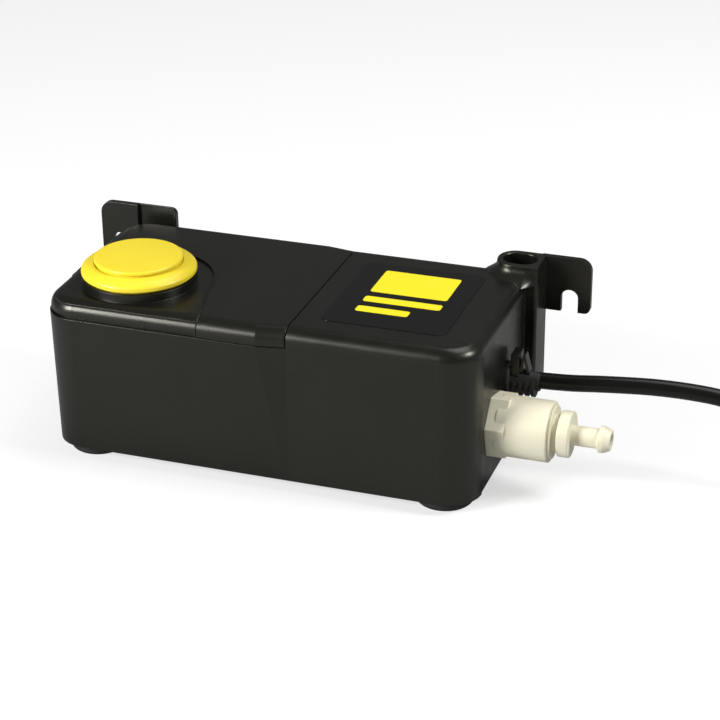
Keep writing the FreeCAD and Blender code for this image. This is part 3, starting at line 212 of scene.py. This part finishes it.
def make_materials():
    """The finish of each slot in the record, and two more for the label's place."""
    finishes = (
        moulded("black_plastic", (15, 15, 12), (19, 19, 16), 0.3).set(
            Specular_IOR_Level=0.46, Specular_Tint=(1, 0.98, 0.88, 1),
        ),
        moulded("yellow_plastic", (234, 211, 43), (238, 217, 54), 0.36, 1500, 0.00003, 0.15).set(
            Subsurface_Weight=0.25, Subsurface_Radius=(0.005, 0.004, 0.001),
        ),
        moulded("ivory_nylon", (222, 217, 190), (229, 225, 202), 0.34, 900, 0.00004, 0.15).set(
            Subsurface_Weight=0.25, Subsurface_Radius=(0.006, 0.005, 0.003),
        ),
        moulded("grey_plastic", (112, 114, 116), (124, 126, 128), 0.42),
        moulded("white_plastic", (222, 222, 218), (232, 232, 228), 0.4),
        moulded("black_rubber", (24, 24, 24), (31, 31, 30), 0.62, 1900, 0.00008, 0.35),
        moulded("cable_sheath", (10, 10, 9), (14, 14, 12), 0.26, 1200, 0.00003, 0.15).set(
            Specular_IOR_Level=0.3,
        ),
        moulded("label_film", (10, 10, 9), (12, 12, 11), 0.14, 400, 0.00001, 0.1).set(Specular_IOR_Level=0.4),
        moulded("label_ink", (246, 226, 30), (248, 230, 40), 0.3, 700, 0.00001, 0.08),
        moulded("clear_silicone", (214, 216, 210), (226, 228, 222), 0.3, 700, 0.00003, 0.1).set(
            Transmission_Weight=0.5, IOR=1.41,
        ),
        moulded("circuit_green", (22, 86, 52), (28, 98, 60), 0.3, 900, 0.00003, 0.1, FINE_EDGE),
        moulded("reed_glass", (216, 232, 224), (226, 240, 232), 0.08, 300, 0.00001, 0.05, FINE_EDGE).set(
            Transmission_Weight=0.85, IOR=1.5,
        ),
        metal("zinc_screw", (186, 184, 172), (204, 202, 190), 0.34),
        metal("stainless", (196, 196, 196), (212, 212, 212), 0.26),
        metal("laminations", (120, 122, 126), (140, 142, 146), 0.42, 2400, LAYERS_ON_X),
        metal("enamelled_copper", (176, 92, 52), (196, 108, 62), 0.28, 1800, LAYERS_ON_Z),
        moulded("ferrite", (58, 58, 60), (70, 70, 72), 0.5, 1800, 0.00006, 0.3, FINE_EDGE),
    )
    return {finish.name: finish.material for finish in finishes}


def dress_nodes(materials):
    """Every node of the frame gets its slot's finish and smooth shading between its sharp edges."""
    slots = {row["node"]: row["material_slot"] for row in frame["record"]["subparts"]}
    for name, node in frame["nodes"].items():
        node.data.materials.clear()
        node.data.materials.append(materials[slots[name]])
        smooth(node.data)


# The mains lead: the source's route, then the turns of its coil, as one smooth line

LEAD = [
    (92, 9.4, 44.4), (126, 9.4, 44.9), (150, 11.5, 47.0), (178, 15.5, 47.4), (208, 18.5, 44.5),
    (236, 18.5, 34.0), (258, 14.0, 18.0), (279, 3.2, 4.6),
]
LEAD_RADIUS = 3.9
LINE_ORDER = 3
LINE_STEPS = 8
ROUND_STEPS = 6

COIL_MIDDLE = (318, 36)
COIL_STEPS = 16
COIL_START = -116
COIL_REACH = 46.7
TURN = 2 * LEAD_RADIUS
LAYER_GAP = 0.1
LAST_RISE = 1.7
FLOOR_LEVEL = LEAD_RADIUS
UPPER_LEVEL = LEAD_RADIUS + TURN + LAYER_GAP
COIL_TURNS = (
    (COIL_REACH, FLOOR_LEVEL), (COIL_REACH - TURN, FLOOR_LEVEL), (COIL_REACH - 2 * TURN, FLOOR_LEVEL),
    (COIL_REACH - 2 * TURN, UPPER_LEVEL), (COIL_REACH - TURN, UPPER_LEVEL), (COIL_REACH, UPPER_LEVEL),
    (COIL_REACH + TURN, UPPER_LEVEL + LAST_RISE),
)

# Where a turn starts to pass over to the next one, how long that takes, and the last turn's end in degrees
LOW_CHANGE, HIGH_CHANGE = 0.6, 0.5
CHANGE_LENGTH = 0.4
LAST_ANGLE = 165

# The lead's end crosses over its first stretch and comes down beside the coil: angle, reach, height
LEAD_TAIL = (
    (172, 53.6, 13.8), (-170, 53, 16.6), (-154, 52.3, 19.6), (-139, 52.2, 20.4), (-125, 53.4, 17.8),
    (-111, 55.2, 13), (-97, 56, 8.2), (-84, 55.4, 5.2),
)
TAIL_END = ((333, -18.5, 3.9), (340, -18.5, 3.9))


def round_point(middle, angle, reach, level):
    """A point at an angle in degrees and a reach from a middle, at a height."""
    turn = math.radians(angle)
    return (middle[0] + reach * math.cos(turn), middle[1] + reach * math.sin(turn), level)


def coil_points():
    """Three turns inwards on the floor, three outwards on top of them, then the end beside the coil.

    A smooth line runs inside its points, so each turn's points lie out by the cosine of half a step.
    """
    spots = []
    outwards = 1 / math.cos(math.pi / COIL_STEPS)
    last = len(COIL_TURNS) - 2
    for turn, ((reach, level), after) in enumerate(zip(COIL_TURNS, COIL_TURNS[1:])):
        start = LOW_CHANGE if level == FLOOR_LEVEL else HIGH_CHANGE
        for step in range(COIL_STEPS):
            angle = COIL_START + 360 * step / COIL_STEPS
            if turn == last and angle > LAST_ANGLE:
                break
            share = min(1, max(0, (step / COIL_STEPS - start) / CHANGE_LENGTH))
            share = share * share * (3 - 2 * share)
            now = reach + (after[0] - reach) * share
            if after[0] == reach:
                now += TURN * (1 - share - math.cos(math.pi / 2 * share))
            height = level + (after[1] - level) * share
            spots.append(round_point(COIL_MIDDLE, angle, now * outwards, height))
    spots += [round_point(COIL_MIDDLE, *place) for place in LEAD_TAIL]
    return spots + list(TAIL_END)


def curve_piece(name, spots, radius, material, kind="NURBS"):
    """A round line through points; only a smooth one uses the order, the ends and the steps."""
    data = bpy.data.curves.new(name, "CURVE")
    data.dimensions = "3D"
    line = data.splines.new(kind)
    line.points.add(len(spots) - 1)
    for point, place in zip(line.points, spots):
        point.co = (*spot(*place), 1)
    line.order_u = LINE_ORDER
    line.use_endpoint_u = True
    line.resolution_u = LINE_STEPS
    data.bevel_depth = radius * MM
    data.bevel_resolution = ROUND_STEPS
    data.use_fill_caps = True
    data.materials.append(material)
    return place_object(name, data)


def make_lead(materials):
    lead = curve_piece("lead", LEAD + coil_points(), LEAD_RADIUS, materials["cable_sheath"])
    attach(lead, "housing")
    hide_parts("mains_lead", "lead_coil")


# The inlet cap, turned about its own middle: reach from the middle, height over the collar, rounding

CAP_MIDDLE = (-68, -17, 85.4)
CAP_SIDES = 128
CAP_PROFILE = [
    (0, 8.5), (20.8, 8.5, 0.8), (20.8, 7.0, 0.2), (20.1, 6.7), (20.1, 5.2), (20.7, 5.2), (21.0, 6.1, 0.15),
    (24.8, 5.2, 6), (27, 3.2, 1.6), (27, 1.1, 0.35), (25.2, 1.1), (25.2, 0), (22.2, 0), (22.2, -8.25),
    (21.05, -8.25), (21.05, -9.75), (22.2, -9.75), (22.2, -13, 0.4), (19.6, -13, 0.4), (19.6, 1.7),
    (17.6, 6.5), (0, 6.5),
]
ARC_STEPS = 8


def rounded(corners):
    """The corners as points, with an arc at each one that has a rounding."""
    spots = []
    for index, corner in enumerate(corners):
        here = Vector(corner[:2])
        if len(corner) < 3:
            spots.append(here)
            continue
        rounding = corner[2]
        before = (Vector(corners[index - 1][:2]) - here).normalized()
        after = (Vector(corners[index + 1][:2]) - here).normalized()
        half = before.angle(after) / 2
        middle = here + (before + after).normalized() * (rounding / math.sin(half))
        start = here + before * (rounding / math.tan(half)) - middle
        end = here + after * (rounding / math.tan(half)) - middle
        for step in range(ARC_STEPS + 1):
            spots.append(middle + start.slerp(end, step / ARC_STEPS) * rounding)
    return spots


def turned(name, middle, profile, sides, material):
    """A mesh turned about an upright axis; its profile starts and ends on the axis."""
    line = rounded(profile)
    mesh = bmesh.new()
    rings = []
    for reach, height in line[1:-1]:
        places = [round_point(middle, 360 * side / sides, reach, middle[2] + height) for side in range(sides)]
        rings.append([mesh.verts.new(spot(*place)) for place in places])
    for upper, lower in zip(rings, rings[1:]):
        for side in range(sides):
            after = (side + 1) % sides
            mesh.faces.new((upper[side], upper[after], lower[after], lower[side]))
    for ring, (_, height) in ((rings[0], line[0]), (rings[-1], line[-1])):
        centre = mesh.verts.new(spot(middle[0], middle[1], middle[2] + height))
        for side in range(sides):
            mesh.faces.new((centre, ring[side], ring[(side + 1) % sides]))
    made = mesh_object(name, mesh, material)
    smooth(made.data)
    return made


def make_cap(materials):
    cap = turned("yellow_cap", CAP_MIDDLE, CAP_PROFILE, CAP_SIDES, materials["yellow_plastic"])
    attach(cap, "cap")
    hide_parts("inlet_cap")


# The valve's spring: a copy of its own mesh with the stainless finish, riding the housing


def make_spring(materials):
    data = frame["nodes"]["valve_spring"].data.copy()
    data.materials.clear()
    data.materials.append(materials["stainless"])
    spring = place_object("poppet_spring", data)
    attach(spring, "housing")
    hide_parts("valve_spring")
    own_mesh(spring)


# The thin bead along the edge of the lid's low step, round the inlet and down over the lid's front

BEAD_RADIUS = 0.4
BEAD_REACH = 35.05
BEAD_FRONT_X = -25.7
TOP_ANGLES = range(140, -4, -4)
FRONT_ANGLES = range(90, -1, -10)
LID_TOP, LID_FRONT, LID_ROUND, LID_LOW = 82, -51.65, 6.5, 73.7


def make_bead(materials):
    spots = [round_point(CAP_MIDDLE, angle, BEAD_REACH, LID_TOP) for angle in TOP_ANGLES]
    for angle in FRONT_ANGLES:
        turn = math.radians(angle)
        across = LID_FRONT + LID_ROUND * (1 - math.cos(turn))
        spots.append((BEAD_FRONT_X, across, LID_TOP - LID_ROUND * (1 - math.sin(turn))))
    spots.append((BEAD_FRONT_X, LID_FRONT, LID_LOW))
    bead = curve_piece("step_bead", spots, BEAD_RADIUS, materials["black_plastic"], kind="POLY")
    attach(bead, "lid")


# The label's place on the motor housing: a plain film with a plain printed block and two bars, each as its
# left, right, front and back side

LABEL_TOP = 82
FILM = (27, 86, -34, 35)
FILM_THICKNESS = 0.15
FILM_CORNER = 4
PRINTS = ((39, 76, 2, 27), (39, 76, -9, -3), (39, 64, -20, -14))
PRINT_THICKNESS = 0.05
PRINT_CORNER = 1.5


def plate(name, sides, base, thickness, corner, material):
    """A thin flat plate with round corners, riding the housing."""
    left, right, front, back = sides
    mesh = bmesh.new()
    outline = []
    for number, (x, y) in enumerate(((right, back), (left, back), (left, front), (right, front))):
        inner = (x - corner if x == right else x + corner, y - corner if y == back else y + corner)
        for step in range(ARC_STEPS + 1):
            angle = 90 * (number + step / ARC_STEPS)
            outline.append(mesh.verts.new(spot(*round_point(inner, angle, corner, base))))
    face = mesh.faces.new(outline)
    lifted = bmesh.ops.extrude_face_region(mesh, geom=[face])["geom"]
    moved = [item for item in lifted if isinstance(item, bmesh.types.BMVert)]
    bmesh.ops.translate(mesh, verts=moved, vec=(0, 0, thickness * MM))
    made = mesh_object(name, mesh, material)
    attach(made, "housing")
    return made


def make_label(materials):
    film = plate("label_film", FILM, LABEL_TOP, FILM_THICKNESS, FILM_CORNER, materials["label_film"])
    base = LABEL_TOP + FILM_THICKNESS
    for number, sides in enumerate(PRINTS):
        name = f"label_print_{number}"
        print_piece = plate(name, sides, base, PRINT_THICKNESS, PRINT_CORNER, materials["label_ink"])


# Floor and light; each lamp as its name, place and size in the frame's metres, and power in watts

FLOOR_REACH = 6
FLOOR_TONE = 166
FLOOR_ROUGH = 0.9
FLOOR_GLOW = 0.61
SKY_LEVEL = 0.16
LAMPS = (
    ("key", (-0.82, -1.0, 0.58), (0.44, 0.46), 23),
    ("top", (0.35, 0.4, 1.4), (1.0, 0.8), 7.5),
    ("side", (0.95, 0.02, 0.77), (0.28, 0.28), 9),
)
AIM = Vector((0, 0, 0.04))


def make_floor():
    """A grey floor that keeps the object's shadow and looks white to the camera alone."""
    shader = Shader("floor")
    shader.set(Base_Color=rgb(FLOOR_TONE, FLOOR_TONE, FLOOR_TONE), Roughness=FLOOR_ROUGH)
    camera_ray = shader.node("LightPath").outputs["Is Camera Ray"]
    shown = shader.node("Math", {0: camera_ray, 1: FLOOR_GLOW}, operation="MULTIPLY")
    glow = shader.node("Emission", {"Color": WHITE, "Strength": shown.outputs[0]})
    both = shader.node("AddShader", {0: shader.surface.outputs[0], 1: glow.outputs[0]})
    shader.link(both.outputs[0], shader.out.inputs[0])
    mesh = bpy.data.meshes.new("floor")
    corners = [(x * FLOOR_REACH, y * FLOOR_REACH, 0) for x, y in ((-1, -1), (1, -1), (1, 1), (-1, 1))]
    mesh.from_pydata(corners, [], [(0, 1, 2, 3)])
    mesh.materials.append(shader.material)
    floor = place_object("floor", mesh)


def make_world():
    """A dim even light, which the camera sees as white."""
    world = bpy.data.worlds.new("world")
    bpy.context.scene.world = world
    world.use_nodes = True
    tree = world.node_tree
    tree.nodes.clear()
    out = tree.nodes.new("ShaderNodeOutputWorld")
    mix = tree.nodes.new("ShaderNodeMixShader")
    rays = tree.nodes.new("ShaderNodeLightPath")
    tree.links.new(rays.outputs["Is Camera Ray"], mix.inputs[0])
    for number, level in ((1, SKY_LEVEL), (2, 1)):
        light = tree.nodes.new("ShaderNodeBackground")
        light.inputs[0].default_value = WHITE
        light.inputs[1].default_value = level
        tree.links.new(light.outputs[0], mix.inputs[number])
    tree.links.new(mix.outputs[0], out.inputs[0])


def make_lamps():
    for name, place, size, power in LAMPS:
        data = bpy.data.lights.new(name, "AREA")
        data.shape = "RECTANGLE"
        data.size, data.size_y = size
        data.energy = power
        lamp = place_object(name, data)
        lamp.location = place
        lamp.rotation_euler = (AIM - Vector(place)).to_track_quat("-Z", "Y").to_euler()


bpy.context.scene.view_settings.view_transform = "Standard"
make_camera()
materials = make_materials()
dress_nodes(materials)
make_lead(materials)
make_cap(materials)
make_spring(materials)
make_bead(materials)
make_label(materials)
make_floor()
make_world()
make_lamps()
